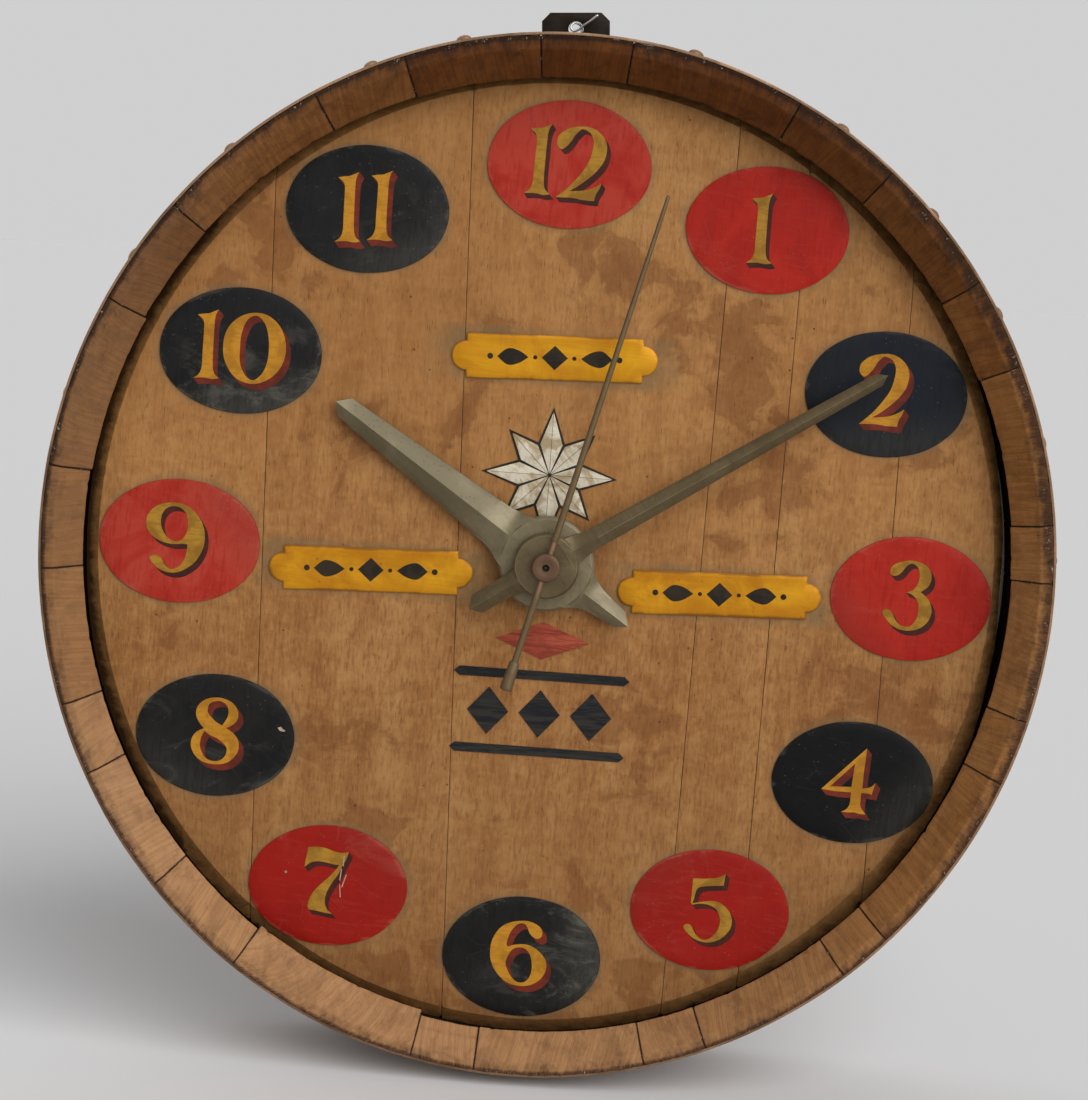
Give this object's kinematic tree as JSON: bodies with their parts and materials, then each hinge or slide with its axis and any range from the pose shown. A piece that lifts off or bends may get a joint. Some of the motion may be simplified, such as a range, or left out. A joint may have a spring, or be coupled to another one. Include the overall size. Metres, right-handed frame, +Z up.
{
  "type": "barrel wall clock",
  "caption": "Wall clock made from a barrel end: oak staves in a nailed metal hoop round a board dial with oval numeral plates, plaques and three hands on a geared movement.",
  "frame": {"origin": "on the rear face of the hanger plate, just above its nail hole, where the clock hangs on the wall", "axes": "+Z up, +X to the right of someone facing the dial, +Y from the dial into the wall; the dial faces -Y"},
  "size_m": [0.5888, 0.1212, 0.6253],
  "materials": {
    "oak": "worn, dry, end grain on the rim",
    "head_oak": "worn satin varnish with stains",
    "copper": "dull, tarnished",
    "steel": "dark brown, rusted",
    "red_paint": "worn satin paint",
    "navy_paint": "worn satin paint",
    "plaque_brass": "lacquered",
    "hand_metal": "grey-green, cast and filed",
    "second_metal": "brown copper",
    "gear_brass": "machined",
    "arbor_steel": "ground",
    "motor_black": "satin black"
  },
  "bodies": {
    "clock_body": {"stave_01": "oak", "stave_02": "oak", "stave_03": "oak", "stave_04": "oak", "stave_05": "oak", "stave_06": "oak", "stave_07": "oak", "stave_08": "oak", "stave_09": "oak", "stave_10": "oak", "stave_11": "oak", "stave_12": "oak", "stave_13": "oak", "stave_14": "oak", "stave_15": "oak", "stave_16": "oak", "stave_17": "oak", "stave_18": "oak", "stave_19": "oak", "stave_20": "oak", "stave_21": "oak", "stave_22": "oak", "stave_23": "oak", "stave_24": "oak", "stave_25": "oak", "stave_26": "oak", "head_board_1": "head_oak", "head_board_2": "head_oak", "head_board_3": "head_oak", "head_board_4": "head_oak", "head_board_5": "head_oak", "head_board_6": "head_oak", "nailed_hoop": "copper", "hanger_plate": "steel", "hour_oval_01": "red_paint", "hour_oval_02": "navy_paint", "hour_oval_03": "red_paint", "hour_oval_04": "navy_paint", "hour_oval_05": "red_paint", "hour_oval_06": "navy_paint", "hour_oval_07": "red_paint", "hour_oval_08": "navy_paint", "hour_oval_09": "red_paint", "hour_oval_10": "navy_paint", "hour_oval_11": "navy_paint", "hour_oval_12": "red_paint", "plaque_top": "plaque_brass", "plaque_left": "plaque_brass", "plaque_right": "plaque_brass", "movement_case": "gear_brass", "motor_unit": "motor_black", "dial_nut": "arbor_steel"},
    "second_train": {"second_hand": "second_metal", "second_arbor": "arbor_steel"},
    "third_train": {"third_wheel": "gear_brass"},
    "minute_train": {"minute_hand": "hand_metal", "centre_wheel": "gear_brass"},
    "motion_train": {"motion_wheel": "gear_brass"},
    "hour_train": {"hour_hand": "hand_metal", "hour_wheel": "gear_brass"}
  },
  "joints": [
    {"name": "minute_spin", "type": "hinge", "parent": "clock_body", "child": "minute_train", "pos_m": [0.0053, -0.1085, -0.3168], "axis": [0, 1, 0], "continuous": true},
    {"name": "second_spin", "type": "hinge", "parent": "clock_body", "child": "second_train", "pos_m": [0.0053, -0.1175, -0.3168], "axis": [0, 1, 0], "continuous": true},
    {"name": "third_spin", "type": "hinge", "parent": "clock_body", "child": "third_train", "pos_m": [0.0053, -0.05, -0.342], "axis": [0, 1, 0], "continuous": true},
    {"name": "motion_spin", "type": "hinge", "parent": "clock_body", "child": "motion_train", "pos_m": [0.0053, -0.05, -0.2918], "axis": [0, 1, 0], "continuous": true},
    {"name": "hour_spin", "type": "hinge", "parent": "clock_body", "child": "hour_train", "pos_m": [0.0053, -0.098, -0.3168], "axis": [0, 1, 0], "continuous": true}
  ],
  "couplings": [
    {"joint": "second_spin", "follows": "minute_spin", "ratio": 60},
    {"joint": "third_spin", "follows": "minute_spin", "ratio": -8},
    {"joint": "motion_spin", "follows": "minute_spin", "ratio": -0.33333},
    {"joint": "hour_spin", "follows": "minute_spin", "ratio": 0.083333}
  ]
}
